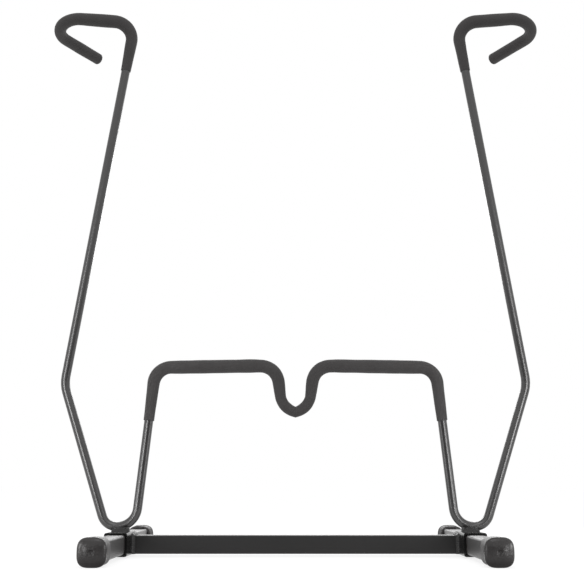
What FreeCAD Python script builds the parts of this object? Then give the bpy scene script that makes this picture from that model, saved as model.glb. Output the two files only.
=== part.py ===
import FreeCAD, Part
import math
import os
import re
import Sketcher
from FreeCAD import Placement, Rotation, Vector

# Surfboard display rack. Millimetres, +Z up, +Y to the back, +X to the right as seen from the front.
# The origin lies on the floor, in the middle between the four rubber caps.

doc = FreeCAD.newDocument("SurfboardRack")

# Driving dimensions
SIZES = {
    # round steel rod, bent cold on a few common radii
    "rod_diameter": 10,
    "bend_radius": 20,
    # notch for a fin, in the middle of the padded bar
    "notch_depth": 52.5,
    "notch_rise": 5,
    "notch_half_width": 16,
    "notch_mouth_half_width": 20.4,
    # padded bar, which falls a little from the notch to its shoulders
    "bar_height": 210,
    "bar_fall": 2.2,
    "shoulder_half_width": 158,
    # U-bend over the socket: an arc on each side of a short level run
    "inner_foot_radius": 21.6,
    "outer_foot_radius": 17.3,
    "foot_run": 1,
    "foot_bend_offset": 4.1,
    # knee between lower leg and upright
    "knee_half_width": 260.2,
    "knee_height": 188.8,
    "knee_radius": 40,
    # horn: a run out and forward that falls a little, then a hook back and down
    "horn_half_width": 192.6,
    "horn_height": 623,
    "hook_half_width": 317,
    "hook_forward": 34.7,
    "hook_drop": 5.7,
    "hook_radius": 23.2,
    "tip_half_width": 247.6,
    "tip_back": 58,
    "tip_drop": 20.8,
    # soft sleeves: wall thickness at each stretch, and where they stop
    "sleeve_clearance": 0.05,
    "sleeve_taper_length": 12,
    "bar_sleeve_wall": 2.5,
    "bend_sleeve_wall": 2,
    "notch_sleeve_wall": 1.2,
    "notch_joint_wall": 0.7,
    "sleeve_end_wall": 0.75,
    "bar_sleeve_end_height": 148.5,
    "horn_sleeve_wall": 2.6,
    "hook_sleeve_wall": 2.2,
    "tip_sleeve_wall": 1.8,
    "tip_end_wall": 3.6,
    "tip_edge_radius": 3,
    "horn_sleeve_end_height": 562.3,
    # foot tubes
    "foot_spacing": 384,
    "foot_size": 20,
    "foot_wall": 1.5,
    "foot_length": 331,
    "foot_corner_radius": 2,
    # sockets that the foot tubes slide in
    "socket_clearance": 0.5,
    "socket_wall": 2,
    "socket_length": 66,
    "socket_corner_radius": 2.5,
    # crossbar between the sockets, a little above their undersides
    "crossbar_height": 20,
    "crossbar_depth": 20,
    "crossbar_wall": 1.5,
    "crossbar_corner_radius": 1.5,
    "crossbar_front": 4.5,
    "crossbar_lift": 1,
    # rubber caps on the foot tubes
    "cap_wall": 4.15,
    "cap_clearance": 0.1,
    "cap_length": 31,
    "cap_end": 6,
    "cap_corner_radius": 10,
    "cap_dome_rise": 2.5,
    "cap_edge_radius": 4,
    # clamp screw and its weld nut, on the outer side of each socket
    "screw_diameter": 6,
    "screw_length": 10,
    "screw_gap": 0.3,
    "screw_head_flats": 10,
    "screw_head_height": 4,
    "screw_hole_clearance": 0.25,
    "thread_clearance": 0.05,
    "nut_flats": 10,
    "nut_height": 5,
    # welds
    "rod_weld_gap": 0.7,
    "rod_weld_length": 19,
    "rod_weld_height": 4.2,
    "rod_weld_toe": 1.6,
    "rod_weld_lip": 0.4,
    "crossbar_weld_leg": 3.8,
    "crossbar_weld_lip": 0.4,
}

sheet = doc.addObject("Spreadsheet::Sheet", "Sizes")
for row, (name, value) in enumerate(SIZES.items(), start=1):
    sheet.set(f"A{row}", name)
    sheet.set(f"B{row}", str(value))
    sheet.setAlias(f"B{row}", name)
doc.recompute()

SIDES = {"left": -1, "right": 1}
X_AXIS = Vector(1, 0, 0)
Y_AXIS = Vector(0, 1, 0)
Z_AXIS = Vector(0, 0, 1)
HALF_TURN = Rotation(Z_AXIS, 180)
LENGTH_TOLERANCE = 1e-6
VOLUME_TOLERANCE = 0.001
subparts = []


def size(name):
    """A driving dimension, read from the sheet."""
    return float(sheet.get(name))


def formula(text):
    """Expression text in which each driving dimension is read from the sheet."""
    return re.sub("[a-z_]+", lambda word: f"Sizes.{word[0]}" if word[0] in SIZES else word[0], text)


def bind(item, **formulas):
    """Tie properties of an object to the sheet."""
    for prop, text in formulas.items():
        item.setExpression(prop, formula(text))
    return item


def keep(item, label):
    """Name a finished sub-part."""
    item.Label = label
    subparts.append(item)
    return item


# Sizes that follow from the driving dimensions
CAP_SIZE = "(foot_size + 2 * cap_clearance + 2 * cap_wall)"
SOCKET_SIZE = "(foot_size + 2 * socket_clearance + 2 * socket_wall)"
cap_size = size("foot_size") + 2 * size("cap_clearance") + 2 * size("cap_wall")
socket_size = size("foot_size") + 2 * size("socket_clearance") + 2 * size("socket_wall")
foot_x = size("foot_spacing") / 2
axis_height = cap_size / 2
socket_top = axis_height + socket_size / 2
socket_bottom = axis_height - socket_size / 2
rod_radius = size("rod_diameter") / 2


# Paths and round bars

def tangent_direction(point, centre, radius, side):
    """Direction, in the XZ plane, of the line from a point that touches a circle on one of its sides."""
    to_centre = centre - point
    angle = math.atan2(to_centre.z, to_centre.x) + side * math.asin(radius / to_centre.Length)
    return Vector(math.cos(angle), 0, math.sin(angle))


def meeting_point(first, first_way, second, second_way):
    """Point, in the XZ plane, where two lines cross."""
    across = first_way.x * second_way.z - first_way.z * second_way.x
    apart = second - first
    along = (apart.x * second_way.z - apart.z * second_way.x) / across
    return first + first_way * along


def bent_path(corners, radii):
    """Straight runs between corner points, joined by arcs that touch both runs."""
    edges = []
    start = corners[0]
    for before, corner, after, radius in zip(corners, corners[1:], corners[2:], radii):
        back = (before - corner).normalize()
        ahead = (after - corner).normalize()
        half_angle = back.getAngle(ahead) / 2
        setback = radius / math.tan(half_angle)
        inward = (back + ahead).normalize()
        arc_start = corner + back * setback
        arc_middle = corner + inward * (radius / math.sin(half_angle) - radius)
        arc_end = corner + ahead * setback
        edges.append(Part.LineSegment(start, arc_start).toShape())
        edges.append(Part.Arc(arc_start, arc_middle, arc_end).toShape())
        start = arc_end
    edges.append(Part.LineSegment(start, corners[-1]).toShape())
    return edges


def rod_path(sign):
    """Centreline of one half of the frame, from the notch to the horn's tip."""
    def point(x, y, z):
        return Vector(sign * x, y, z)

    bar_height = size("bar_height")
    horn_height = size("horn_height")
    notch_bottom = bar_height - size("notch_depth")
    middle = point(0, 0, notch_bottom)
    notch_corner = point(size("notch_half_width"), 0, notch_bottom + size("notch_rise"))
    shoulder = point(size("shoulder_half_width"), 0, bar_height - size("bar_fall"))
    knee = point(size("knee_half_width"), 0, size("knee_height"))
    inner_radius = size("inner_foot_radius")
    outer_radius = size("outer_foot_radius")
    foot = point(foot_x + size("foot_bend_offset"), 0, socket_top + size("rod_weld_gap") + rod_radius)
    inner_centre = foot + point(-size("foot_run") / 2, 0, inner_radius)
    outer_centre = foot + point(size("foot_run") / 2, 0, outer_radius)
    inner_leg = tangent_direction(shoulder, inner_centre, inner_radius, -sign)
    lower_leg = tangent_direction(knee, outer_centre, outer_radius, sign)
    corners = [
        middle + (middle - notch_corner),
        notch_corner,
        point(size("notch_mouth_half_width"), 0, bar_height),
        shoulder,
        meeting_point(shoulder, inner_leg, foot, X_AXIS),
        meeting_point(knee, lower_leg, foot, X_AXIS),
        knee,
        point(size("horn_half_width"), 0, horn_height),
        point(size("hook_half_width"), -size("hook_forward"), horn_height - size("hook_drop")),
        point(size("tip_half_width"), size("tip_back"), horn_height - size("tip_drop")),
    ]
    bend = size("bend_radius")
    radii = [bend, bend, bend, inner_radius, outer_radius, size("knee_radius"), bend, size("hook_radius")]
    return bent_path(corners, radii)


# Edges of the path, in order
NOTCH_RUN, NOTCH_BEND, NOTCH_LEG, MOUTH_BEND, BAR, SHOULDER_BEND, INNER_LEG = range(7)
UPRIGHT, HORN_BEND, HORN_RUN, HOOK_BEND, HOOK_RUN = range(12, 17)


def cut_run(edge, *distances):
    """Straight run cut at distances from its start, or from its end where negative."""
    start = edge.valueAt(edge.FirstParameter)
    end = edge.valueAt(edge.LastParameter)
    way = (end - start).normalize()
    cuts = [(start if d >= 0 else end) + way * d for d in distances]
    points = [start] + cuts + [end]
    return [Part.LineSegment(a, b).toShape() for a, b in zip(points, points[1:])]


def run_from_height(edge, height):
    """Distance along a straight run from its start to a height."""
    start = edge.valueAt(edge.FirstParameter)
    end = edge.valueAt(edge.LastParameter)
    return (height - start.z) / (end.z - start.z) * (end - start).Length


def round_bar(stretches):
    """Solid of round section along a path: cones on straight edges, rings on arcs."""
    solids = []
    for edge, start_radius, end_radius in stretches:
        start = edge.valueAt(edge.FirstParameter)
        way = edge.tangentAt(edge.FirstParameter)
        if isinstance(edge.Curve, Part.Circle):
            disc = Part.Face(Part.Wire(Part.makeCircle(start_radius, start, way)))
            turn = math.degrees(edge.LastParameter - edge.FirstParameter)
            solids.append(disc.revolve(edge.Curve.Center, edge.Curve.Axis, turn))
        elif start_radius == end_radius:
            solids.append(Part.makeCylinder(start_radius, edge.Length, start, way))
        else:
            solids.append(Part.makeCone(start_radius, end_radius, edge.Length, start, way))
    return solids[0].multiFuse(solids[1:]).removeSplitter()


def far_half(sign, reach):
    """Block that fills the other half of the space, up to the middle plane."""
    return Part.makeBox(reach, 2 * reach, 2 * reach, Vector(-reach if sign > 0 else 0, -reach, -reach))


# Bent rods, swept round a path and mitred where the two halves meet

paths = {side: rod_path(sign) for side, sign in SIDES.items()}
rods = {}

for side, sign in SIDES.items():
    path = paths[side]
    spine = doc.addObject("Part::Feature", f"{side}_spine")
    spine.Shape = Part.Wire(path)
    section = bind(doc.addObject("Part::Circle", f"{side}_section"), Radius="rod_diameter / 2")
    section.Placement = Placement(path[0].valueAt(path[0].FirstParameter),
                                  Rotation(Z_AXIS, path[0].tangentAt(path[0].FirstParameter)))
    sweep = doc.addObject("Part::Sweep", f"{side}_sweep")
    sweep.Sections = [section]
    sweep.Spine = (spine, [f"Edge{number}" for number in range(1, len(path) + 1)])
    sweep.Solid = True
    trim = bind(doc.addObject("Part::Box", f"{side}_mitre"),
                Length="bar_height", Width="bar_height", Height="bar_height")
    trim.Placement.Base = Vector(-size("bar_height") if sign > 0 else 0, -size("bar_height") / 2, 0)
    rod = doc.addObject("Part::Cut", f"{side}_rod_cut")
    rod.Base = sweep
    rod.Tool = trim
    rods[side] = keep(rod, f"{side}_rod")

doc.recompute()


# Soft sleeves: their walls swell and thin along the rod, so each is built from cones and rings

def wall_radius(name):
    return rod_radius + size(name)


bore_radius = rod_radius + size("sleeve_clearance")
taper = size("sleeve_taper_length")

for side, sign in SIDES.items():
    path = paths[side]

    # bar sleeve: from the middle of the notch, along the bar, round the shoulder and down the inner leg
    joint = wall_radius("notch_joint_wall")
    notch = wall_radius("notch_sleeve_wall")
    bend = wall_radius("bend_sleeve_wall")
    bar = wall_radius("bar_sleeve_wall")
    end = wall_radius("sleeve_end_wall")
    swell_in, full, swell_out = cut_run(path[BAR], taper, -taper)
    leg = cut_run(path[INNER_LEG], run_from_height(path[INNER_LEG], size("bar_sleeve_end_height")))[0]
    outside = round_bar([
        (path[NOTCH_RUN], joint, notch),
        (path[NOTCH_BEND], notch, notch),
        (path[NOTCH_LEG], notch, bend),
        (path[MOUTH_BEND], bend, bend),
        (swell_in, bend, bar),
        (full, bar, bar),
        (swell_out, bar, bend),
        (path[SHOULDER_BEND], bend, bend),
        (leg, bend, end),
    ])
    bore = round_bar([(edge, bore_radius, bore_radius) for edge in path[NOTCH_RUN:INNER_LEG + 1]])
    sleeve = doc.addObject("Part::Feature", f"{side}_bar_foam")
    sleeve.Shape = outside.cut(bore).cut(far_half(sign, size("bar_height"))).Solids[0]
    keep(sleeve, f"{side}_bar_sleeve")

    # horn sleeve: from the top of the upright, round the hook, to a closed blunt tip
    horn = wall_radius("horn_sleeve_wall")
    hook = wall_radius("hook_sleeve_wall")
    tip = wall_radius("tip_sleeve_wall")
    top = cut_run(path[UPRIGHT], run_from_height(path[UPRIGHT], size("horn_sleeve_end_height")))[1]
    swell_in, full, swell_out = cut_run(path[HORN_RUN], taper, -taper)
    outside = round_bar([
        (top, end, bend),
        (path[HORN_BEND], bend, bend),
        (swell_in, bend, horn),
        (full, horn, horn),
        (swell_out, horn, hook),
        (path[HOOK_BEND], hook, hook),
        (path[HOOK_RUN], hook, tip),
    ])
    rod_end = path[HOOK_RUN].valueAt(path[HOOK_RUN].LastParameter)
    tip_way = path[HOOK_RUN].tangentAt(path[HOOK_RUN].LastParameter)
    plug = Part.makeCylinder(tip, size("tip_end_wall"), rod_end, tip_way)
    far_rim = max(plug.Edges, key=lambda edge: (edge.CenterOfMass - rod_end).dot(tip_way))
    outside = outside.fuse(plug.makeFillet(size("tip_edge_radius"), [far_rim]))
    bore = round_bar([(edge, bore_radius, bore_radius) for edge in path[UPRIGHT:HOOK_RUN + 1]])
    sleeve = doc.addObject("Part::Feature", f"{side}_horn_foam")
    sleeve.Shape = outside.cut(bore).Solids[0]
    keep(sleeve, f"{side}_horn_sleeve")


# Square tubes and caps, drawn across the Y axis

def plane(body, role):
    return next(item for item in body.Origin.OriginFeatures if item.Role == role)


def new_sketch(body, role, name):
    sketch = body.newObject("Sketcher::SketchObject", name)
    sketch.AttachmentSupport = [(plane(body, role), "")]
    sketch.MapMode = "FlatFace"
    return sketch


def add_rectangle(sketch, name, width, height):
    """Rectangle centred on the origin, with its sides tied to two formulas."""
    corners = [Vector(-1, -1, 0), Vector(1, -1, 0), Vector(1, 1, 0), Vector(-1, 1, 0)]
    first = sketch.GeometryCount
    for start, end in zip(corners, corners[1:] + corners[:1]):
        sketch.addGeometry(Part.LineSegment(start, end), False)
    for number in range(4):
        follower = first + (number + 1) % 4
        sketch.addConstraint(Sketcher.Constraint("Coincident", first + number, 2, follower, 1))
    for number, way in enumerate(["Horizontal", "Vertical", "Horizontal", "Vertical"]):
        sketch.addConstraint(Sketcher.Constraint(way, first + number))
    sketch.addConstraint(Sketcher.Constraint("Symmetric", first, 1, first + 1, 2, -1, 1))
    for line, label, text in ((first, f"{name}_width", width), (first + 1, f"{name}_height", height)):
        number = sketch.addConstraint(Sketcher.Constraint("Distance", line, 2))
        sketch.renameConstraint(number, label)
        sketch.setExpression(f"Constraints.{label}", formula(text))


def add_circle(sketch, name, diameter):
    """Circle round the origin, with its diameter tied to a formula."""
    circle = sketch.addGeometry(Part.Circle(Vector(), Z_AXIS, 1), False)
    sketch.addConstraint(Sketcher.Constraint("Coincident", circle, 3, -1, 1))
    number = sketch.addConstraint(Sketcher.Constraint("Diameter", circle, 2))
    sketch.renameConstraint(number, name)
    sketch.setExpression(f"Constraints.{name}", formula(diameter))


def add_pad(body, sketch, name, length, **settings):
    pad = body.newObject("PartDesign::Pad", name)
    pad.Profile = sketch
    for prop, value in settings.items():
        setattr(pad, prop, value)
    bind(pad, Length=length)
    doc.recompute()
    return pad


def round_edges(body, base, name, radius, chosen):
    """Fillet on the edges of a feature that pass a test."""
    fillet = body.newObject("PartDesign::Fillet", name)
    numbers = [n for n, edge in enumerate(base.Shape.Edges, start=1) if chosen(edge)]
    fillet.Base = (base, [f"Edge{n}" for n in numbers])
    bind(fillet, Radius=radius)
    doc.recompute()
    return fillet


def lies_along(edge, axis):
    """Whether an edge is straight and runs along an axis."""
    if edge.Degenerated or not isinstance(edge.Curve, Part.Line):
        return False
    return edge.Curve.Direction.cross(axis).Length < LENGTH_TOLERANCE


def square_tube(label, across, along, width, height, wall, length, radius):
    """Hollow tube with rounded outer edges, centred on the origin and padded both ways from one plane."""
    body = doc.addObject("PartDesign::Body", f"{label}_body")
    sketch = new_sketch(body, across, f"{label}_section")
    add_rectangle(sketch, "outer", width, height)
    add_rectangle(sketch, "inner", f"{width} - 2 * {wall}", f"{height} - 2 * {wall}")
    pad = add_pad(body, sketch, f"{label}_pad", length, SideType="Symmetric")
    reach = max(edge.CenterOfMass.Length for edge in pad.Shape.Edges if lies_along(edge, along))

    def on_outside(edge):
        return lies_along(edge, along) and edge.CenterOfMass.Length > reach - LENGTH_TOLERANCE

    round_edges(body, pad, f"{label}_corners", radius, on_outside)
    return body


for side, sign in SIDES.items():
    place = Placement(Vector(sign * foot_x, 0, axis_height), HALF_TURN if sign > 0 else Rotation())

    # foot tube, through the socket from front to back
    foot = square_tube(f"{side}_foot", "XZ_Plane", Y_AXIS, "foot_size", "foot_size", "foot_wall",
                       "foot_length", "foot_corner_radius")
    foot.Placement = place
    keep(foot, f"{side}_foot_tube")

    # socket, with a hole for the clamp screw in its outer side
    socket = square_tube(f"{side}_socket", "XZ_Plane", Y_AXIS, SOCKET_SIZE, SOCKET_SIZE, "socket_wall",
                         "socket_length", "socket_corner_radius")
    hole_sketch = new_sketch(socket, "YZ_Plane", f"{side}_socket_hole_circle")
    add_circle(hole_sketch, "hole_diameter", "screw_diameter + 2 * screw_hole_clearance")
    hole = socket.newObject("PartDesign::Pocket", f"{side}_socket_hole")
    hole.Profile = hole_sketch
    hole.Type = "ThroughAll"
    socket.Placement = place
    keep(socket, f"{side}_socket")

# crossbar, butted between the sockets just above the level of their undersides
crossbar = square_tube("crossbar", "YZ_Plane", X_AXIS, "crossbar_depth", "crossbar_height", "crossbar_wall",
                       f"foot_spacing - {SOCKET_SIZE}", "crossbar_corner_radius")
crossbar_middle = size("crossbar_front") + size("crossbar_depth") / 2
crossbar_bottom = socket_bottom + size("crossbar_lift")
crossbar.Placement.Base = Vector(0, crossbar_middle, crossbar_bottom + size("crossbar_height") / 2)
keep(crossbar, "crossbar")


# Rubber caps: a rounded block with a domed end, hollow to take the tube

def add_dome(body, label):
    """Groove that turns the flat end into a shallow dome round the Y axis."""
    sketch = new_sketch(body, "YZ_Plane", f"{label}_dome_profile")
    rise = size("cap_dome_rise")
    radius = (cap_size ** 2 / 4 + rise ** 2) / (2 * rise)
    front = -size("cap_length")
    rim_angle = math.asin(cap_size / radius)
    rim = front + radius * (1 - math.cos(rim_angle))
    circle = Part.Circle(Vector(front + radius, 0, 0), Z_AXIS, radius)
    points = [Vector(front, 0, 0), Vector(front - cap_size, 0, 0),
              Vector(front - cap_size, cap_size, 0), Vector(rim, cap_size, 0)]
    arc = sketch.addGeometry(Part.ArcOfCircle(circle, math.pi - rim_angle, math.pi), False)
    axis_line, far_line, rim_line = [
        sketch.addGeometry(Part.LineSegment(start, end), False) for start, end in zip(points, points[1:])]
    loop = [arc, axis_line, far_line, rim_line]
    for line, follower in zip(loop, loop[1:] + loop[:1]):
        sketch.addConstraint(Sketcher.Constraint("Coincident", line, 2, follower, 1))
    sketch.addConstraint(Sketcher.Constraint("PointOnObject", arc, 3, -1))
    sketch.addConstraint(Sketcher.Constraint("PointOnObject", axis_line, 1, -1))
    sketch.addConstraint(Sketcher.Constraint("Horizontal", axis_line))
    sketch.addConstraint(Sketcher.Constraint("Vertical", far_line))
    sketch.addConstraint(Sketcher.Constraint("Horizontal", rim_line))
    tied = {
        "front": (Sketcher.Constraint("DistanceX", -1, 1, axis_line, 1, front), "-cap_length"),
        "clear": (Sketcher.Constraint("Distance", axis_line, cap_size), CAP_SIZE),
        "reach": (Sketcher.Constraint("Distance", far_line, cap_size), CAP_SIZE),
        "dome_radius": (Sketcher.Constraint("Radius", arc, radius),
                        f"({CAP_SIZE} ^ 2 / 4 + cap_dome_rise ^ 2) / (2 * cap_dome_rise)"),
    }
    for name, (constraint, text) in tied.items():
        sketch.renameConstraint(sketch.addConstraint(constraint), name)
        sketch.setExpression(f"Constraints.{name}", formula(text))
    groove = body.newObject("PartDesign::Groove", f"{label}_dome")
    groove.Profile = sketch
    groove.ReferenceAxis = (sketch, ["H_Axis"])
    groove.Angle = 360
    doc.recompute()
    return groove


def rubber_cap(label):
    """Cap that points along -Y, with its mouth on the XZ plane."""
    body = doc.addObject("PartDesign::Body", f"{label}_body")
    outline = new_sketch(body, "XZ_Plane", f"{label}_outline")
    add_rectangle(outline, "outer", CAP_SIZE, CAP_SIZE)
    block = add_pad(body, outline, f"{label}_block", "cap_length")
    round_edges(body, block, f"{label}_corners", "cap_corner_radius", lambda edge: lies_along(edge, Y_AXIS))
    dome = add_dome(body, label)
    apex = -size("cap_length")

    def on_rim(edge):
        """Rim of the dome: short of the apex, in the front half, and not along the sides."""
        span = edge.BoundBox
        past_apex = span.YMin > apex + size("cap_dome_rise") / 2
        return past_apex and span.YMax < apex / 2 and not lies_along(edge, Y_AXIS)

    round_edges(body, dome, f"{label}_edge", "cap_edge_radius", on_rim)
    inner = "foot_size + 2 * cap_clearance"
    mouth = new_sketch(body, "XZ_Plane", f"{label}_mouth")
    add_rectangle(mouth, "inner", inner, inner)
    hollow = body.newObject("PartDesign::Pocket", f"{label}_hollow")
    hollow.Profile = mouth
    hollow.Reversed = True
    bind(hollow, Length="cap_length - cap_end")
    doc.recompute()
    return body


for side, sign in SIDES.items():
    for end, turn in (("front", Rotation()), ("rear", HALF_TURN)):
        label = f"{end}_{side}_cap"
        mouth_distance = size("foot_length") / 2 + size("cap_end") - size("cap_length")
        along = -1 if end == "front" else 1
        cap = rubber_cap(label)
        cap.Placement = Placement(Vector(sign * foot_x, along * mouth_distance, axis_height), turn)
        keep(cap, label)


# Clamp screws and weld nuts, on the outer sides of the sockets

ACROSS_CORNERS = 2 / math.sqrt(3)
nut_seat = size("socket_clearance") + size("socket_wall")


def on_screw_axis(sign, distance):
    """Place on the screw's axis, pointing out, at a distance from the outer side of the foot tube."""
    tube_side = foot_x + size("foot_size") / 2
    return Placement(Vector(sign * (tube_side + distance), 0, axis_height), Rotation(Z_AXIS, X_AXIS * sign))


for side, sign in SIDES.items():
    block = bind(doc.addObject("Part::Prism", f"{side}_nut_block"),
                 Circumradius=f"nut_flats * {ACROSS_CORNERS} / 2", Height="nut_height")
    block.Polygon = 6
    block.Placement = on_screw_axis(sign, nut_seat)
    thread = bind(doc.addObject("Part::Cylinder", f"{side}_nut_thread"),
                  Radius="screw_diameter / 2 + thread_clearance", Height="nut_height")
    thread.Placement = on_screw_axis(sign, nut_seat)
    nut = doc.addObject("Part::Cut", f"{side}_nut_cut")
    nut.Base = block
    nut.Tool = thread
    keep(nut, f"{side}_weld_nut")

    shank = bind(doc.addObject("Part::Cylinder", f"{side}_screw_shank"),
                 Radius="screw_diameter / 2", Height="screw_length")
    shank.Placement = on_screw_axis(sign, size("screw_gap"))
    head = bind(doc.addObject("Part::Prism", f"{side}_screw_head"),
                Circumradius=f"screw_head_flats * {ACROSS_CORNERS} / 2", Height="screw_head_height")
    head.Polygon = 6
    head.Placement = on_screw_axis(sign, size("screw_gap") + size("screw_length"))
    screw = doc.addObject("Part::Fuse", f"{side}_screw_fuse")
    screw.Base = head
    screw.Tool = shank
    keep(screw, f"{side}_clamp_screw")


# Welds: a saddle under each U-bend, and a bead round each end of the crossbar

BITE = "(rod_weld_height - rod_weld_gap)"
HALF_CHORD = f"sqrt({BITE} * (rod_diameter - {BITE}))"
STAND_UP = Rotation(X_AXIS, 90)

for side, sign in SIDES.items():
    saddle = doc.addObject("Part::Wedge", f"{side}_saddle")
    saddle.Ymin = 0
    bind(saddle, Ymax="rod_weld_height",
         Xmin="-rod_weld_length / 2", Xmax="rod_weld_length / 2",
         X2min="-rod_weld_length / 2 + rod_weld_lip", X2max="rod_weld_length / 2 - rod_weld_lip",
         Zmin=f"-{HALF_CHORD} - rod_weld_toe", Zmax=f"{HALF_CHORD} + rod_weld_toe",
         Z2min=f"-{HALF_CHORD} - rod_weld_lip", Z2max=f"{HALF_CHORD} + rod_weld_lip")
    saddle.Placement = Placement(Vector(sign * foot_x, 0, socket_top), STAND_UP)
    weld = doc.addObject("Part::Cut", f"{side}_saddle_cut")
    weld.Base = saddle
    weld.Tool = rods[side]
    keep(weld, f"{side}_rod_weld")

    bead = doc.addObject("Part::Wedge", f"{side}_bead")
    bead.Ymin = 0
    bind(bead, Ymax="crossbar_weld_leg",
         Xmin="-crossbar_depth / 2 - crossbar_weld_leg", Xmax="crossbar_depth / 2 + crossbar_weld_leg",
         X2min="-crossbar_depth / 2 - crossbar_weld_lip", X2max="crossbar_depth / 2 + crossbar_weld_lip",
         Zmax="crossbar_height + crossbar_weld_leg", Z2max="crossbar_height + crossbar_weld_lip")
    bead.Zmin = 0
    bead.Z2min = 0
    crossbar_end = sign * (foot_x - socket_size / 2)
    inward = Rotation(Y_AXIS * -sign, X_AXIS * -sign, Z_AXIS, "ZYX")
    bead.Placement = Placement(Vector(crossbar_end, crossbar_middle, crossbar_bottom), inward)
    beam = bind(doc.addObject("Part::Box", f"{side}_beam"),
                Length="foot_spacing", Width="crossbar_depth", Height="crossbar_height")
    beam.Placement.Base = Vector(-foot_x, size("crossbar_front"), crossbar_bottom)
    weld = doc.addObject("Part::Cut", f"{side}_bead_cut")
    weld.Base = bead
    weld.Tool = beam
    keep(weld, f"{side}_crossbar_weld")

doc.recompute()


# Check every object, then write one file for each sub-part

for item in doc.Objects:
    faults = {"Invalid", "Error"} & set(item.State)
    if faults:
        raise RuntimeError(f"{item.Label}: {sorted(faults)}")

for item in subparts:
    if item.Shape.isNull() or not item.Shape.isValid() or len(item.Shape.Solids) != 1:
        raise RuntimeError(f"{item.Label}: no single valid solid")

rod_area = math.pi * rod_radius ** 2
for side in SIDES:
    swept = doc.getObject(f"{side}_sweep").Shape.Volume
    length = sum(edge.Length for edge in paths[side])
    if abs(swept / (rod_area * length) - 1) > VOLUME_TOLERANCE:
        raise RuntimeError(f"{side} rod: swept volume differs from section times length")

os.makedirs("parts", exist_ok=True)
for item in subparts:
    item.Shape.exportStep(f"parts/{item.Label}.step")
    box = item.Shape.BoundBox
    print(f"{item.Label:22s} x {box.XMin:7.1f} {box.XMax:7.1f}  y {box.YMin:7.1f} {box.YMax:7.1f}  "
          f"z {box.ZMin:6.1f} {box.ZMax:6.1f}  volume {item.Shape.Volume:9.1f}")
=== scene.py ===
import math

import bmesh
import bpy
import numpy as np
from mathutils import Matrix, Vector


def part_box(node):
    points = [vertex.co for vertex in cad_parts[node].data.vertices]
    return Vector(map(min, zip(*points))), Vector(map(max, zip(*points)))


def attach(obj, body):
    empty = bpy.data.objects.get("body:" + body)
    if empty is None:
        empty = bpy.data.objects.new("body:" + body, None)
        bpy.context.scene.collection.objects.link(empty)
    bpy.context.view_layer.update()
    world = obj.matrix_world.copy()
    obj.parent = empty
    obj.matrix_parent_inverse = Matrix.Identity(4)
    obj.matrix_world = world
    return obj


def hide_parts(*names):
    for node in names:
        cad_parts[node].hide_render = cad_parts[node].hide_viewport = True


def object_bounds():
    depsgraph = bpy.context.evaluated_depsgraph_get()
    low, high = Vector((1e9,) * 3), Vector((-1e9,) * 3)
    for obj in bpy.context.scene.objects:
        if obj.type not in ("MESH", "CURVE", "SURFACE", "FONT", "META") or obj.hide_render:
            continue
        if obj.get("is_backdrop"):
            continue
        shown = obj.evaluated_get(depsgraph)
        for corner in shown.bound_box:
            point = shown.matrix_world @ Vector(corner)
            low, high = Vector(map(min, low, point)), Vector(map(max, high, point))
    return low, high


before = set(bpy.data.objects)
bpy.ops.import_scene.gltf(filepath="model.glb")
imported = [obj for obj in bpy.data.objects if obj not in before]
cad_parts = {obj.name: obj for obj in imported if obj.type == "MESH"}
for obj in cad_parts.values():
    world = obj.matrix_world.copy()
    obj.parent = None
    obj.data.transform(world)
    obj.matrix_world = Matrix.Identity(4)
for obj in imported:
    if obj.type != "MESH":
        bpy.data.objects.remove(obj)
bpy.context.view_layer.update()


# Bent rods: one round steel rod of 10 mm for each half, cold bent from the fin notch to the horn.
# Satin black powder coat, sprayed and baked on after welding. It gives a dark grey with a soft gloss,
# faint clouds where the coat is thicker, and a fine orange peel.

MM = 0.001
SIDES = {"left": -1, "right": 1}


def linear(code):
    """Linear red, green and blue, with full alpha, of an sRGB hex colour."""
    srgb = np.array([int(code[place:place + 2], 16) for place in (1, 3, 5)]) / 255
    rgb = np.where(srgb <= 0.04045, srgb / 12.92, ((srgb + 0.055) / 1.055) ** 2.4)
    return (*rgb, 1.0)


def add(tree, kind, inputs, **settings):
    """New node: settings are its properties, inputs are fixed values or the sockets that feed it."""
    node = tree.nodes.new(kind)
    for name, value in settings.items():
        setattr(node, name, value)
    for name, value in inputs.items():
        if isinstance(value, bpy.types.NodeSocket):
            tree.links.new(value, node.inputs[name])
        else:
            node.inputs[name].default_value = value
    return node


def noise(tree, place, width, detail, roughness=0.5):
    """Socket with a soft noise from nought to one, its grains about as wide as given, in millimetres."""
    inputs = {"Vector": place, "Scale": 1 / (width * MM), "Detail": detail, "Roughness": roughness}
    return add(tree, "ShaderNodeTexNoise", inputs).outputs["Fac"]


def remap(tree, value, low, high, start=0.0, end=1.0):
    """Socket that runs in a straight line from low to high as the value goes from start to end, and holds
    still outside them."""
    inputs = {"Value": value, "From Min": start, "From Max": end, "To Min": low, "To Max": high}
    return add(tree, "ShaderNodeMapRange", inputs).outputs["Result"]


def mix(tree, factor, first, second, data_type="RGBA", **settings):
    """Socket with the first of two colours or numbers where the factor is nought, the second where it is
    one."""
    inputs = {"Factor": factor, "A": first, "B": second}
    return add(tree, "ShaderNodeMix", inputs, data_type=data_type, **settings).outputs["Result"]


def bump(tree, height, strength, depth):
    """Socket with the normal of a surface raised by a height from nought to one, depth in millimetres."""
    inputs = {"Height": height, "Strength": strength, "Distance": depth * MM}
    return add(tree, "ShaderNodeBump", inputs).outputs["Normal"]


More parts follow.
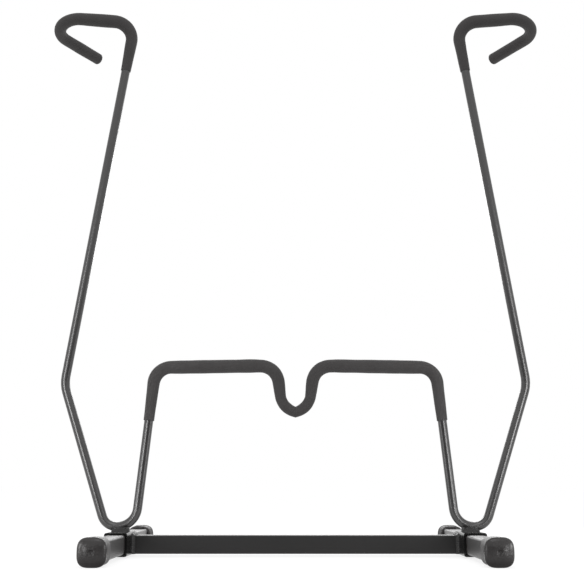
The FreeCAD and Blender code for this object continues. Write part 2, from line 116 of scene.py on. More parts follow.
def new_finish(name, **fixed):
    """Material with a Principled shader: its tree, the shader and a socket with Object coordinates."""
    material = bpy.data.materials.new(name)
    material.use_nodes = True
    shader = material.node_tree.nodes["Principled BSDF"]
    for socket, value in fixed.items():
        shader.inputs[socket.replace("_", " ")].default_value = value
    place = add(material.node_tree, "ShaderNodeTexCoord", {}).outputs["Object"]
    return material, material.node_tree, shader, place


def feed(tree, shader, **sources):
    """Link sockets to the inputs of a shader."""
    for socket, source in sources.items():
        tree.links.new(source, shader.inputs[socket.replace("_", " ")])


def powder_coat(name, dark, light, gloss_range, cloud_width, peel_width, peel_depth, specular=0.5):
    """Baked coat: clouds in colour and gloss, under an orange peel; widths and depth in millimetres."""
    material, tree, shader, place = new_finish(name, Specular_IOR_Level=specular)
    cloud = noise(tree, place, cloud_width, detail=3.0)
    peel = noise(tree, place, peel_width, detail=2.0)
    tint = mix(tree, cloud, linear(dark), linear(light))
    gloss = remap(tree, cloud, *gloss_range)
    relief = bump(tree, peel, strength=0.3, depth=peel_depth)
    feed(tree, shader, Base_Color=tint, Roughness=gloss, Normal=relief)
    return material


def dress(material, slot, *names):
    """Give CAD nodes a finish; the slot is not used."""
    for name in names:
        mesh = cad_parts[name].data
        mesh.materials.clear()
        mesh.materials.append(material)


rod_coat = powder_coat("satin_powder_coat", "#171515", "#1e1c1c", gloss_range=(0.34, 0.28), cloud_width=40,
                       peel_width=2.5, peel_depth=0.015, specular=1.0)
dress(rod_coat, "powder_coat", "left_rod", "right_rod")


# Soft sleeves: closed-cell foam rubber tubes pushed over the rods, one round each horn with a closed tip,
# one over each half of the notched bar. They thin round the bends, bunch up on the inside of the tight bends
# of the notch, and end in a small step.

ROD_RADIUS = 5.0
BORE_RADIUS = 5.05
BEND_RADIUS = 20.0
HOOK_RADIUS = 23.2
SLEEVE_SIDES = 44
ROW_SPACING = 1.4
FEWEST_ROWS = 3
MERGE_DISTANCE = 1e-4
SHARP_EDGE = math.radians(50)

# Route of the rod under each sleeve, right half, in millimetres: corner points and the radius at each bend
BAR_ROUTE = [(0, 0, 157.5), (16, 0, 162.5), (20.4, 0, 210), (158, 0, 207.8), (164.13, 0, 148.5)]
BAR_BENDS = [BEND_RADIUS, BEND_RADIUS, BEND_RADIUS]
HORN_ROUTE = [(202.05, 0, 562.3), (192.6, 0, 623), (317, -34.7, 617.3), (247.6, 58, 602.2)]
HORN_BENDS = [BEND_RADIUS, HOOK_RADIUS]


def unit(vectors):
    """Vectors scaled to length one."""
    return vectors / np.linalg.norm(vectors, axis=-1, keepdims=True)


def bent_line(corners, radii, spacing):
    """Straight runs from corner to corner, each corner cut by an arc that touches both runs.
    An arc is centre + radius (cos t spoke - sin t back), spoke and back being its first two directions.
    Returns points, directions, ways to the middle of the bend (none on runs), distances along the line,
    and the distance where each stretch ends."""
    points, ways, inward, ends = [], [], [], [0.0]
    start = corners[0]

    def add_stretch(length, position, direction, centre=None):
        steps = np.linspace(0, 1, max(FEWEST_ROWS, round(length / spacing)), endpoint=False)[:, None]
        points.append(position(steps))
        ways.append(np.broadcast_to(direction(steps), points[-1].shape))
        inward.append(0 * points[-1] if centre is None else unit(centre - points[-1]))
        ends.append(ends[-1] + length)

    def add_run(begin, end):
        run = end - begin
        add_stretch(np.linalg.norm(run), lambda t: begin + t * run, lambda t: unit(run))

    for before, corner, after, radius in zip(corners, corners[1:], corners[2:], radii):
        back, ahead = unit(before - corner), unit(after - corner)
        half_angle = np.arccos(back @ ahead) / 2
        turn = math.pi - 2 * half_angle
        arc_start = corner + back * radius / np.tan(half_angle)
        centre = corner + unit(back + ahead) * radius / np.sin(half_angle)
        spoke = unit(arc_start - centre)
        add_run(start, arc_start)
        add_stretch(radius * turn,
                    lambda t: centre + radius * (np.cos(t * turn) * spoke - np.sin(t * turn) * back),
                    lambda t: -np.sin(t * turn) * spoke - np.cos(t * turn) * back, centre)
        start = corner + ahead * radius / np.tan(half_angle)
    add_run(start, corners[-1])
    points.append(corners[-1][None])
    ways.append(ways[-1][-1:])
    inward.append(inward[-1][-1:])
    points, ways, inward = (np.concatenate(stretches) for stretches in (points, ways, inward))
    along = np.concatenate([[0], np.cumsum(np.linalg.norm(np.diff(points, axis=0), axis=1))])
    return points, ways, inward, along, np.array(ends)


def rings(centres, ways, reference, radii):
    """Rows of points round a line: centre + radius (cos t across + sin t beside).
    Across is the reference direction made square to the line, beside is square to both."""
    turn = np.linspace(0, 2 * math.pi, radii.shape[1], endpoint=False)[None, :, None]
    across = unit(reference - ways * (ways @ reference)[:, None])
    beside = np.cross(ways, across)
    spokes = np.cos(turn) * across[:, None] + np.sin(turn) * beside[:, None]
    return centres[:, None] + radii[:, :, None] * spokes


def straight_rings(start, way, reference, distances, radii):
    """Rings on a straight axis: one for each distance from the start along the way."""
    centres = start + way * distances[:, None]
    return rings(centres, np.repeat(way[None], len(distances), axis=0), reference, radii)


def add_surface(name, rows, loop=False, sharp=math.radians(180)):
    """Closed surface over a grid of points in millimetres: each row is a ring, and neighbours are joined by
    quads. With loop, the last row joins the first; otherwise both end rows are points, which are merged."""
    count, sides = rows.shape[:2]
    row = np.arange(count if loop else count - 1)[:, None]
    side = np.arange(sides)[None, :]
    next_row, next_side = (row + 1) % count, (side + 1) % sides
    quads = np.stack([row * sides + side, row * sides + next_side,
                      next_row * sides + next_side, next_row * sides + side], axis=-1)
    mesh = bpy.data.meshes.new(name)
    mesh.from_pydata((rows * MM).reshape(-1, 3), [], quads.reshape(-1, 4))
    shell = bmesh.new()
    shell.from_mesh(mesh)
    bmesh.ops.remove_doubles(shell, verts=shell.verts, dist=MERGE_DISTANCE * MM)
    shell.to_mesh(mesh)
    shell.free()
    mesh.shade_smooth()
    mesh.set_sharp_from_angle(angle=sharp)
    piece = bpy.data.objects.new(name, mesh)
    bpy.context.scene.collection.objects.link(piece)
    return piece


def fit(piece, material, slot, body, *nodes):
    """Finish a piece, set it on its body and let it stand for CAD nodes."""
    piece.data.materials.append(material)
    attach(piece, body)
    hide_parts(*nodes)


def smooth(values, reach):
    """Running mean over a few rows on either side, with the ends held."""
    held = np.concatenate([values[:1].repeat(reach, axis=0), values, values[-1:].repeat(reach, axis=0)])
    windows = np.lib.stride_tricks.sliding_window_view(held, 2 * reach + 1, axis=0)
    return windows.mean(axis=-1)


def all_round(radii):
    """One radius for each ring of a sleeve, repeated at every point of the ring."""
    return np.repeat(radii[:, None], SLEEVE_SIDES, axis=1)


LONG_WAVE, LONG_SPAN = 0.07, 9.1
SHORT_WAVE, SHORT_SPAN = 0.05, 4.3
ROUND_WAVE, ROUND_SPAN = 0.06, 15


def soft_wall(along, radii, phase):
    """Outside radius with the slight waves of a soft tube worked on by hand: two slow sines along it and
    one round it, each under a tenth of a millimetre."""
    turn = np.linspace(0, 2 * math.pi, SLEEVE_SIDES, endpoint=False)[None, :]
    run = along[:, None]
    waves = (LONG_WAVE * np.sin(run / LONG_SPAN + phase) + SHORT_WAVE * np.sin(run / SHORT_SPAN - phase)
             + ROUND_WAVE * np.sin(2 * turn + run / ROUND_SPAN + phase))
    return radii[:, None] + waves


def round_lip(radius, depth, steps=5):
    """Radii and distances past the end of a wall that turns in to the bore as a quarter of an ellipse."""
    turn = np.linspace(0, math.pi / 2, steps + 1)[1:]
    return BORE_RADIUS + (radius - BORE_RADIUS) * np.cos(turn), depth * np.sin(turn)


def foam_rubber(name, dark, light):
    """Closed-cell foam with a moulded skin: matte charcoal, mottled over 14 mm, with a fine pore grain, its
    pores darker towards their middles as painted shade in the pits. Real pores are about 0.3 mm wide; they
    are drawn 1 mm wide so that they show."""
    material, tree, shader, place = new_finish(name, Roughness=0.78, Specular_IOR_Level=0.3,
                                               Sheen_Weight=0.08, Sheen_Roughness=0.6)
    mottle = noise(tree, place, width=14, detail=4.0)
    pores = add(tree, "ShaderNodeTexVoronoi",
                {"Vector": place, "Scale": 1 / (1.0 * MM), "Randomness": 1.0}).outputs["Distance"]
    tint = mix(tree, mottle, linear(dark), linear(light))
    # Pores darkened in colour towards their middles: painted shade in the pits.
    painted_pore_shade = remap(tree, pores, low=0.74, high=1.0, end=0.6)
    shade = mix(tree, 1.0, tint, painted_pore_shade, blend_type="MULTIPLY")
    feed(tree, shader, Base_Color=shade, Normal=bump(tree, pores, strength=0.4, depth=0.2))
    return material


foam = foam_rubber("closed_cell_foam", "#3a3838", "#454343")
LIP = 0.35
BUNCH = 0.6
WALL_TAPER = 12.0
MITRE_FADE = 10.0
TIP_WALL = 3.6
TIP_BLUNTNESS = 2 / 2.8
TIP_ROWS = 16
WALL_SMOOTHING, LEAN_SMOOTHING = 3, 4
BAR_PHASE, HORN_PHASE = 0.4, 0.9

# Thickness of the foam: where the bar sleeves meet, round the notch, round the other bends, on straight runs,
# down the inner leg, and at the open ends; then on the horn's neck, over its top bend and towards the tip
JOINT_WALL, NOTCH_WALL, BEND_WALL, RUN_WALL, LEG_WALL, LEG_END_WALL = 0.7, 1.2, 2.2, 2.6, 2.0, 0.8
HORN_END_WALL, NECK_WALL, TOP_WALL, TIP_SIDE_WALL = 0.75, 2.0, 2.5, 1.9

for side, sign in SIDES.items():
    mirror = np.array([sign, 1, 1])

    # bar sleeve: cut square to the middle plane, where it meets its twin in a crease
    points, ways, inward, along, ends = bent_line(np.array(BAR_ROUTE) * mirror, BAR_BENDS, ROW_SPACING)
    stations = [0, ends[1], ends[2], ends[3], ends[4], ends[4] + WALL_TAPER,
                ends[5] - WALL_TAPER, ends[5], ends[6], ends[7]]
    walls = [JOINT_WALL, NOTCH_WALL, NOTCH_WALL, BEND_WALL, BEND_WALL, RUN_WALL,
             RUN_WALL, BEND_WALL, LEG_WALL, LEG_END_WALL]
    radii = ROD_RADIUS + smooth(np.interp(along, stations, walls), WALL_SMOOTHING)
    reference = np.array([0.0, 1.0, 0.0])
    lean = BUNCH * smooth(inward * (along < ends[4])[:, None], LEAN_SMOOTHING)
    outside = rings(points + lean, ways, reference, soft_wall(along, radii, BAR_PHASE * sign))
    lip_radii, lip_past = round_lip(radii[-1], LIP)
    lip = straight_rings(points[-1], ways[-1], reference, lip_past, all_round(lip_radii))
    bore = rings(points, ways, reference, all_round(np.full(len(points), BORE_RADIUS)))
    fade = np.clip(1 - along / MITRE_FADE, 0, 1)[:, None, None]
    for rows in (outside, bore):
        rows -= fade * rows[:1, :, :1] / ways[0, 0] * ways[0]
    rows = np.concatenate([outside, lip, bore[::-1]])
    sleeve = add_surface(f"{side}_bar_foam", rows, loop=True, sharp=SHARP_EDGE)
    fit(sleeve, foam, "soft_sleeve", "frame", f"{side}_bar_sleeve")

    # horn sleeve: open at the upright, closed and blunt at the tip
    points, ways, _, along, ends = bent_line(np.array(HORN_ROUTE) * mirror, HORN_BENDS, ROW_SPACING)
    stations = [0, ends[1], (ends[1] + ends[2]) / 2, ends[3] - WALL_TAPER, ends[3], ends[4], ends[5]]
    walls = [HORN_END_WALL, NECK_WALL, TOP_WALL, RUN_WALL, BEND_WALL, TIP_SIDE_WALL, TIP_SIDE_WALL]
    radii = ROD_RADIUS + smooth(np.interp(along, stations, walls), WALL_SMOOTHING)
    reference = np.array([0.0, 1.0, 1.0])
    outside = rings(points, ways, reference, soft_wall(along, radii, HORN_PHASE * sign))
    lip_radii, lip_past = round_lip(radii[0], LIP)
    lip = straight_rings(points[0], ways[0], reference, -lip_past, all_round(lip_radii))
    bore = rings(points, ways, reference, all_round(np.full(len(points), BORE_RADIUS)))
    turn = np.linspace(0, math.pi / 2, TIP_ROWS)[1:]
    dome_radii = radii[-1] * np.cos(turn).clip(0) ** TIP_BLUNTNESS
    dome_past = TIP_WALL * np.sin(turn) ** TIP_BLUNTNESS
    dome = straight_rings(points[-1], ways[-1], reference, dome_past, all_round(dome_radii))
    bore_end = np.broadcast_to(points[-1], (1, SLEEVE_SIDES, 3))
    rows = np.concatenate([bore_end, bore[::-1], lip[::-1], outside, dome])
    sleeve = add_surface(f"{side}_horn_foam", rows)
    fit(sleeve, foam, "soft_sleeve", "frame", f"{side}_horn_sleeve")


# Sockets and crossbar: square steel tubes, sawn to length and welded into the base of the frame.
# The sockets are sprayed with a gloss black enamel, the crossbar has a flatter powder coat.

enamel = powder_coat("gloss_black_enamel", "#090808", "#0e0d0d", gloss_range=(0.26, 0.18), cloud_width=30,
                     peel_width=3.0, peel_depth=0.01, specular=0.3)
dress(enamel, "gloss_paint", "left_socket", "right_socket")
flat_coat = powder_coat("flat_powder_coat", "#181717", "#1d1c1c", gloss_range=(0.44, 0.36), cloud_width=60,
                        peel_width=1.6, peel_depth=0.05, specular=0.42)
dress(flat_coat, "powder_coat", "crossbar")


# Welds: a saddle of weld metal under each U-bend and a bead round each end of the crossbar, laid by hand in
# short overlapping ripples. The same flat powder coat as on the crossbar covers them.

RIPPLE = 2.4
SADDLE_SIDES = 96
SADDLE_ROWS = 16
SADDLE_ROUNDNESS = 2 / 4.5
SADDLE_HEIGHT = 5.4
SADDLE_SPREAD = 0.7
SADDLE_EDGE = 0.15
SADDLE_RIPPLE = 0.03
BEAD_CORNER = 1.5
BEAD_SPACING = 0.5
BEAD_STEPS = 9
BEAD_HOLLOW = 0.24
BEAD_FULL, BEAD_RIPPLE = 0.9, 0.1

for side, sign in SIDES.items():
    low, high = (np.array(corner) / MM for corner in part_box(f"{side}_rod_weld"))
    middle = (low + high) / 2
    half_length, half_width = (high[0] - low[0]) / 2, (high[1] - low[1]) / 2

    # saddle: footprint |x / a|^4.5 + |y / b|^4.5 = 1, drawn in to the sides of the rod along a hollow curve
    # as it climbs
    turn = np.linspace(0, 2 * math.pi, SADDLE_SIDES, endpoint=False)[None, :]
    outline_x = np.sign(np.cos(turn)) * np.abs(np.cos(turn)) ** SADDLE_ROUNDNESS
    outline_y = np.sign(np.sin(turn)) * np.abs(np.sin(turn)) ** SADDLE_ROUNDNESS
    climb = np.concatenate([[0], np.linspace(0, 1, SADDLE_ROWS), [1]])[:, None]
    shut = np.concatenate([[0], np.ones(SADDLE_ROWS), [0]])[:, None]
    toe = (1 - climb) ** 2
    reach_x = half_length + SADDLE_SPREAD * toe
    reach_y = ROD_RADIUS + SADDLE_EDGE + (half_width - ROD_RADIUS) * toe
    waves = np.cos(2 * math.pi * half_length * outline_x / RIPPLE)
    ripple = 1 + SADDLE_RIPPLE * waves * np.sin(math.pi * climb)
    saddle = np.stack([middle[0] + shut * reach_x * outline_x,
                       middle[1] + shut * reach_y * ripple * outline_y,
                       low[2] + SADDLE_HEIGHT * climb + 0 * turn], axis=-1)
    piece = add_surface(f"{side}_rod_weld_metal", saddle, sharp=SHARP_EDGE)
    fit(piece, flat_coat, "powder_coat", "frame", f"{side}_rod_weld")

    # bead: up the front, over the top and down the back of the crossbar, a hollow fillet in section
    low, high = (np.array(corner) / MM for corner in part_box(f"{side}_crossbar_weld"))
    bar_low, bar_high = (np.array(corner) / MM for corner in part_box("crossbar"))
    leg = high[0] - low[0]
    socket_face = high[0] if sign > 0 else low[0]
    route = np.array([(0, bar_low[1], bar_low[2]), (0, bar_low[1], bar_high[2]),
                      (0, bar_high[1], bar_high[2]), (0, bar_high[1], bar_low[2])])
    points, ways, _, along, _ = bent_line(route, [BEAD_CORNER, BEAD_CORNER], BEAD_SPACING)
    out = np.cross([1.0, 0, 0], ways)
    fullness = (BEAD_FULL + BEAD_RIPPLE * np.cos(2 * math.pi * along / RIPPLE))[:, None]
    turn = np.linspace(0, math.pi / 2, BEAD_STEPS)[None, :]
    hollow = 1 - BEAD_HOLLOW * np.sin(2 * turn)
    root = np.zeros_like(fullness)
    outward = np.concatenate([root, fullness * leg * np.cos(turn) * hollow], axis=1)
    inward = np.concatenate([root, fullness * leg * np.sin(turn) * hollow], axis=1)
    bead = points[:, None] + outward[:, :, None] * out[:, None]
    bead[:, :, 0] = socket_face - sign * inward
    bead = bead if sign < 0 else bead[:, ::-1]
    ends = bead.mean(axis=1, keepdims=True).repeat(bead.shape[1], axis=1)
    rows = np.concatenate([ends[:1], bead, ends[-1:]])
    piece = add_surface(f"{side}_crossbar_weld_metal", rows, sharp=SHARP_EDGE)
    fit(piece, flat_coat, "powder_coat", "frame", f"{side}_crossbar_weld")


# Clamp screws and weld nuts: an M6 hex screw in black zinc, through a hex nut welded on the outer side of
# each socket, under the same powder coat as the welds. The corners of the hexagons are turned off, and the
# thread is cut as a real ridge.

HEX_SIDES = 72
HEX_EDGE = math.radians(30)
FACE_SHARE, CORNER_SHARE, RING_SHARE = 0.47, 0.58, 0.3
NUT_BORE = 3.05
NUT_BEVEL = 0.9
COUNTERSINK = 0.5
PITCH = 1.0
THREAD_RADIUS, THREAD_DEPTH = 3.0, 0.55
THREAD_STEEPNESS, THREAD_FLAT = 1.25, 0.1
THREAD_ROWS = 100
TIP_RADIUS, TIP_BEVEL = 2.4, 0.35
HEAD_HEIGHT = 4.0
HEAD_SEAT, SEAT_BEVEL, HEAD_BEVEL = 0.05, 0.4, 0.8


def hexagon(flats):
    """Distance from the middle to the side of a hexagon: half the flats over the cosine of the angle from the
    nearest flat."""
    turn = np.linspace(0, 2 * math.pi, HEX_SIDES, endpoint=False)
    return flats / 2 / np.cos((turn + math.pi / 6) % (math.pi / 3) - math.pi / 6)


def zinc_plate(name, dark, light):
    """Black chromate over zinc: a dark metal, slightly uneven in colour, with a grain of about 0.8 mm."""
    material, tree, shader, place = new_finish(name, Metallic=1.0)
    grain = noise(tree, place, width=0.8, detail=3.0)
    tint = mix(tree, grain, linear(dark), linear(light))
    feed(tree, shader, Base_Color=tint, Roughness=remap(tree, grain, low=0.32, high=0.48))
    return material


def turned(name, start, way, distances, radii, sharp, loop=False):
    """Piece on a straight axis: a ring for each distance along it, with radii for the points of the ring."""
    reference = np.array([way[1], way[0], 0.0])
    return add_surface(name, straight_rings(start, way, reference, distances, radii), loop, sharp)


zinc = zinc_plate("black_zinc_plate", "#4a4a4e", "#5c5c60")

for side, sign in SIDES.items():
    out = np.array([sign, 0.0, 0.0])

    # nut: hexagon with turned corners and a countersunk bore
    low, high = (np.array(corner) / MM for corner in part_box(f"{side}_weld_nut"))
    seat = np.array([low[0] if sign > 0 else high[0], (low[1] + high[1]) / 2, (low[2] + high[2]) / 2])
    flats, nut_height = high[1] - low[1], high[0] - low[0]
    face, full = FACE_SHARE * flats, CORNER_SHARE * flats
    limits = np.array([NUT_BORE, face, full, full, face, NUT_BORE + COUNTERSINK, NUT_BORE])
    distances = np.array([0, 0, NUT_BEVEL, nut_height - NUT_BEVEL, nut_height, nut_height,
                          nut_height - COUNTERSINK])
    rows = np.minimum(hexagon(flats)[None], limits[:, None])
    nut = turned(f"{side}_hex_nut", seat, out, distances, rows, HEX_EDGE, loop=True)
    fit(nut, flat_coat, "powder_coat", "frame", f"{side}_weld_nut")

    # screw: thread cut as a ridge that climbs one pitch each turn, then the head
    screw_low, screw_high = (np.array(corner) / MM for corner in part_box(f"{side}_clamp_screw"))
    tip = np.array([screw_low[0] if sign > 0 else screw_high[0], seat[1], seat[2]])
    head_start = screw_high[0] - screw_low[0] - HEAD_HEIGHT
    shank = np.linspace(TIP_BEVEL, head_start, THREAD_ROWS)
    turn = np.linspace(0, 2 * math.pi, HEX_SIDES, endpoint=False)[None, :]
    ridge = np.abs(((shank[:, None] / PITCH - turn / (2 * math.pi)) % 1) - 0.5) * 2
    thread = THREAD_RADIUS - THREAD_DEPTH * np.clip(THREAD_STEEPNESS * ridge - THREAD_FLAT, 0, 1)
    head_limits = np.array([face, face, full, full, face, RING_SHARE * flats, 0])
    head = head_start + np.array([0, HEAD_SEAT, SEAT_BEVEL, HEAD_HEIGHT - HEAD_BEVEL,
                                  HEAD_HEIGHT, HEAD_HEIGHT, HEAD_HEIGHT])
    rows = np.concatenate([np.zeros((1, HEX_SIDES)), np.full((1, HEX_SIDES), TIP_RADIUS), thread,
                           np.minimum(hexagon(flats)[None], head_limits[:, None])])
    distances = np.concatenate([[0, 0], shank, head])
    screw = turned(f"{side}_hex_screw", tip, out, distances, rows, HEX_EDGE)
    fit(screw, zinc, "black_zinc", "frame", f"{side}_clamp_screw")


# Foot tubes: square steel tube of 20 mm, drawn smooth so that it slides through the socket. The same black
# enamel as on the sockets, rubbed paler and to a satin by sliding.

worn_enamel = powder_coat("worn_black_enamel", "#1d1b1b", "#262323", gloss_range=(0.42, 0.34), cloud_width=30,
                          peel_width=3.0, peel_depth=0.01, specular=1.0)
dress(worn_enamel, "gloss_paint", "left_foot_tube", "right_foot_tube")


# Rubber caps: moulded in black rubber and pushed over the ends of the foot tubes. Rounded square in section,
# with a collar, a domed end that stands a little proud of it, and a moulding pit in the middle of the dome.

CAP_SIDES = 112
CAP_ROUNDNESS = 3.1
BORE_ROUNDNESS = 12.0
CAP_BORE = 10.1
CAP_FLOOR = 6.0
NOSE = 6.0
NOSE_ROWS = 60
NOSE_BLUNTNESS = 2 / 2.3
RIM = 1.6
COLLAR_STEP = 0.5
PIT_RADIUS = 2.2
PIT_DEPTH = 1.5
PIT_SOFTNESS = 0.6

# Rounded edges: steps along the cap, with steps out from the bore, in from the collar at the mouth, and at
# the rim out from the collar and in from the dome
BORE_EDGE = [(0.5, 0), (0.1, 0.3)]
MOUTH_WIDTH = 0.8
MOUTH_EDGE = [(0, 0.9), (0.25, 0.35), (0.9, 0)]
RIM_FOOT = [(-0.3, 0), (-0.1, 0.1)]
RIM_TOP = [(0, 0.1), (0.2, 0)]


def moulded_rubber(name, dark, light, collar, rim):
    """Moulded rubber: a semi-gloss dome with grey-black clouds of 9 mm and a spark-eroded grain from the
    mould, and a matte collar nearer to the middle than the rim, which is a distance along Y in metres. The
    collar is a paler grey, a painted reflection of the white that its sides catch at a grazing angle.
    Where the surface turns down to the floor its reflection falls off with the slope, a painted shade in
    place of the shadow on the floor under the cap.
    The grain is about 0.5 mm in the real one and is drawn 1.7 mm wide so that it shows."""
    material, tree, shader, place = new_finish(name)
    bloom = noise(tree, place, width=9, detail=5.0, roughness=0.65)
    grain = noise(tree, place, width=1.7, detail=3.0)
    along = add(tree, "ShaderNodeSeparateXYZ", {"Vector": place}).outputs["Y"]
    reach = add(tree, "ShaderNodeMath", {0: along}, operation="ABSOLUTE").outputs[0]
    dome = remap(tree, reach, low=0.0, high=1.0, start=rim - 0.5 * MM, end=rim + 0.3 * MM)
    tint = mix(tree, bloom, linear(dark), linear(light))
    # The collar's paler grey is a painted reflection of the white that its sides catch at a grazing angle.
    skin = mix(tree, dome, linear(collar), tint)
    polish = remap(tree, grain, low=0.14, high=0.32)
    gloss = mix(tree, dome, 0.5, polish, data_type="FLOAT")
    # Reflection turned down where the surface faces the floor: painted shade for the shadow under the cap.
    normal = add(tree, "ShaderNodeNewGeometry", {}).outputs["Normal"]
    slope = add(tree, "ShaderNodeSeparateXYZ", {"Vector": normal}).outputs["Z"]
    painted_shade_reflection = remap(tree, slope, low=0.08, high=0.35, start=-0.38, end=0.05)
    relief = bump(tree, grain, strength=0.7, depth=0.3)
    feed(tree, shader, Base_Color=skin, Roughness=gloss, Specular_IOR_Level=painted_shade_reflection, Normal=relief)
    return material


cap_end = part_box("rear_left_cap")[1][1]
# The third colour, for the collar, is paler as a painted reflection of white at a grazing angle.
rubber = moulded_rubber("moulded_black_rubber", "#262424", "#383636", "#3e3c3c", cap_end - (NOSE + RIM) * MM)

for side in SIDES:
    for end, facing in (("front", -1), ("rear", 1)):
        low, high = (np.array(corner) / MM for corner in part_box(f"{end}_{side}_cap"))
        half = (high[0] - low[0]) / 2
        length = high[1] - low[1]
        way = np.array([0.0, facing, 0.0])
        mouth = np.array([(low[0] + high[0]) / 2, high[1] if facing < 0 else low[1], (low[2] + high[2]) / 2])

        # profile from the bore's floor, out over the mouth, along the collar, round the dome to its middle
        nose_start = length - NOSE
        rim_start = nose_start - RIM
        collar = half - COLLAR_STEP
        inside = [(length - CAP_FLOOR, 0), (length - CAP_FLOOR, CAP_BORE),
                  *((step, CAP_BORE + rise) for step, rise in BORE_EDGE)]
        wall = [(0, CAP_BORE + MOUTH_WIDTH), *((step, collar - drop) for step, drop in MOUTH_EDGE),
                *((rim_start + step, collar + rise) for step, rise in RIM_FOOT),
                *((rim_start + step, half - drop) for step, drop in RIM_TOP)]
        turn = math.pi / 2 * (1 - np.linspace(1, 0, NOSE_ROWS) ** 2)
        nose = np.stack([nose_start + NOSE * np.sin(turn),
                         half * np.cos(turn).clip(0) ** NOSE_BLUNTNESS], axis=1)
        profile = np.concatenate([inside, wall, nose])
        dip = PIT_DEPTH / 2 * (1 - np.tanh((profile[:, 1] - PIT_RADIUS) / PIT_SOFTNESS))
        pit = dip * (profile[:, 0] > nose_start)

        # section |x|^n + |y|^n = 1, nearly square in the bore and rounder outside
        power = np.where(np.arange(len(profile)) < len(inside), BORE_ROUNDNESS, CAP_ROUNDNESS)[:, None]
        angle = np.linspace(0, 2 * math.pi, CAP_SIDES, endpoint=False)[None, :]
        section = (np.abs(np.cos(angle)) ** power + np.abs(np.sin(angle)) ** power) ** (-1 / power)
        cap = turned(f"{end}_{side}_rubber_cap", mouth, way, profile[:, 0] - pit, profile[:, 1:] * section,
                     SHARP_EDGE)
        fit(cap, rubber, "moulded_rubber", f"{side}_foot", f"{end}_{side}_cap")


# Studio: a white floor that runs out to a white room, a soft box above and one low behind for the tops of the
# feet, two lamps with honeycombs on each side, for the streaks on the rods and the sheen on the caps, and a
# dark card that lies in front, bent up at its far end, which only reflections show.

WHITE = (1, 1, 1, 1)
FLOOR_REACH = 40.0
CARD_REACH = 2.4
CARD_NEAR, CARD_FAR = -0.4, -1.7
CARD_LIFT, CARD_TOP = 0.002, 0.36
LOW_BEARING = 66
LOW_DISTANCE = 0.38
LOW_HEIGHT = 0.083


def add_sheet(name, corners, faces):
    """Flat piece of the studio, which is no part of the rack; corners in metres."""
    mesh = bpy.data.meshes.new(name)
    mesh.from_pydata(corners, [], faces)
    sheet = bpy.data.objects.new(name, mesh)
    bpy.context.scene.collection.objects.link(sheet)
    sheet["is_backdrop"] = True
    return sheet


def white_level(tree, light, white):
    """Strength of a white that glows: one level for the light that it gives, and another for how it looks to
    the camera, in a reflection or through glass."""
    rays = add(tree, "ShaderNodeLightPath", {}).outputs
    seen = add(tree, "ShaderNodeMath", {0: rays["Is Camera Ray"], 1: rays["Is Glossy Ray"]},
               operation="MAXIMUM").outputs[0]
    seen = add(tree, "ShaderNodeMath", {0: seen, 1: rays["Is Transmission Ray"]},
               operation="MAXIMUM").outputs[0]
    return remap(tree, seen, light, white)


def add_lamp(name, width, height, watts, spread, place, tilt, turn=0):
    """Rectangular lamp, metres and degrees: it faces the floor, is tilted up to the back, then turned."""
    lamp_data = bpy.data.lights.new(name, "AREA")
    lamp_data.shape = "RECTANGLE"
    lamp_data.size, lamp_data.size_y = width, height
    lamp_data.energy = watts
    lamp_data.spread = math.radians(spread)
    lamp = bpy.data.objects.new(name, lamp_data)
    bpy.context.scene.collection.objects.link(lamp)
    lamp.location = place
    lamp.rotation_euler = (math.radians(tilt), 0, math.radians(turn))
    lamp.visible_camera = False


floor = add_sheet("floor", [(-FLOOR_REACH, -FLOOR_REACH, 0), (FLOOR_REACH, -FLOOR_REACH, 0),
                            (FLOOR_REACH, FLOOR_REACH, 0), (-FLOOR_REACH, FLOOR_REACH, 0)], [(0, 1, 2, 3)])
paper = bpy.data.materials.new("white_paper")
paper.use_nodes = True
tree = paper.node_tree
tree.nodes.clear()
matte = add(tree, "ShaderNodeBsdfDiffuse", {"Color": linear("#8a8a8a")})
level = white_level(tree, light=0.52, white=0.81)
glow = add(tree, "ShaderNodeEmission", {"Color": WHITE, "Strength": level})
both = add(tree, "ShaderNodeAddShader", {0: matte.outputs[0], 1: glow.outputs[0]})
add(tree, "ShaderNodeOutputMaterial", {"Surface": both.outputs[0]})
floor.data.materials.append(paper)

card = add_sheet("dark_card", [(-CARD_REACH, CARD_NEAR, CARD_LIFT), (CARD_REACH, CARD_NEAR, CARD_LIFT),
                               (CARD_REACH, CARD_FAR, CARD_LIFT), (-CARD_REACH, CARD_FAR, CARD_LIFT),
                               (CARD_REACH, CARD_FAR, CARD_TOP), (-CARD_REACH, CARD_FAR, CARD_TOP)],
                 [(0, 1, 2, 3), (3, 2, 4, 5)])
card.visible_camera = False
card.visible_diffuse = False
card.visible_shadow = False
board = new_finish("dark_board", Base_Color=linear("#383838"), Roughness=0.9)[0]
card.data.materials.append(board)

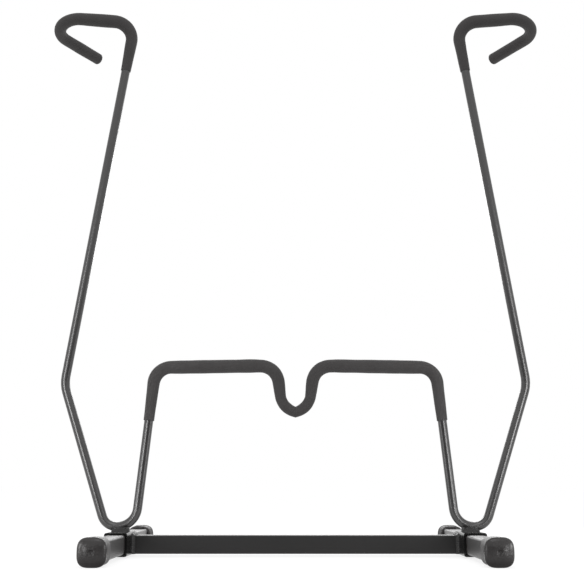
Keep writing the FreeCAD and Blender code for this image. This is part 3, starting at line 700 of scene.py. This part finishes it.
add_lamp("top_box", width=0.9, height=0.6, watts=3.0, spread=180, place=(0, -0.9, 1.5), tilt=40)
add_lamp("back_box", width=0.9, height=0.3, watts=3.0, spread=120, place=(0, 1.0, 0.6), tilt=-65)
for side, sign in SIDES.items():
    add_lamp(f"{side}_strip", width=0.46, height=0.41, watts=0.25, spread=32,
             place=(sign * 0.585, -0.48, 0.215), tilt=90, turn=sign * 27)

    # low lamp, on a bearing from straight in front of the cap that it is aimed at
    low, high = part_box(f"front_{side}_cap")
    aside = LOW_DISTANCE * math.sin(math.radians(LOW_BEARING))
    ahead = LOW_DISTANCE * math.cos(math.radians(LOW_BEARING))
    add_lamp(f"{side}_low_box", width=0.26, height=0.16, watts=0.06, spread=40,
             place=((low[0] + high[0]) / 2 + sign * aside, low[1] - ahead, LOW_HEIGHT),
             tilt=80, turn=sign * LOW_BEARING)

world = bpy.data.worlds.new("white_room")
bpy.context.scene.world = world
world.use_nodes = True
background = world.node_tree.nodes["Background"]
background.inputs["Color"].default_value = WHITE
feed(world.node_tree, background, Strength=white_level(world.node_tree, light=0.75, white=1.0))
bpy.context.scene.view_settings.view_transform = "Standard"


# Camera: low in front of the rack and tilted up a little, its frame slid a few pixels to the side.
# Place in millimetres, tilt in degrees, focal length and slide in pixels of the frame.

FRAME_PIXELS = 584
FOCAL_PIXELS = 1055
SLIDE_RIGHT, SLIDE_UP = -3.5, 0.5
EYE_DISTANCE, EYE_HEIGHT = 1187, 74
TILT_UP = 10.5

camera_data = bpy.data.cameras.new("camera")
camera_data.sensor_width = 36.0
camera_data.lens = camera_data.sensor_width * FOCAL_PIXELS / FRAME_PIXELS
camera_data.shift_x = SLIDE_RIGHT / FRAME_PIXELS
camera_data.shift_y = SLIDE_UP / FRAME_PIXELS
camera = bpy.data.objects.new("camera", camera_data)
bpy.context.scene.collection.objects.link(camera)
camera.location = (0, -EYE_DISTANCE * MM, EYE_HEIGHT * MM)
camera.rotation_euler = (math.radians(90 + TILT_UP), 0, 0)
bpy.context.scene.camera = camera


# The size of the dressed rack.

low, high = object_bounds()
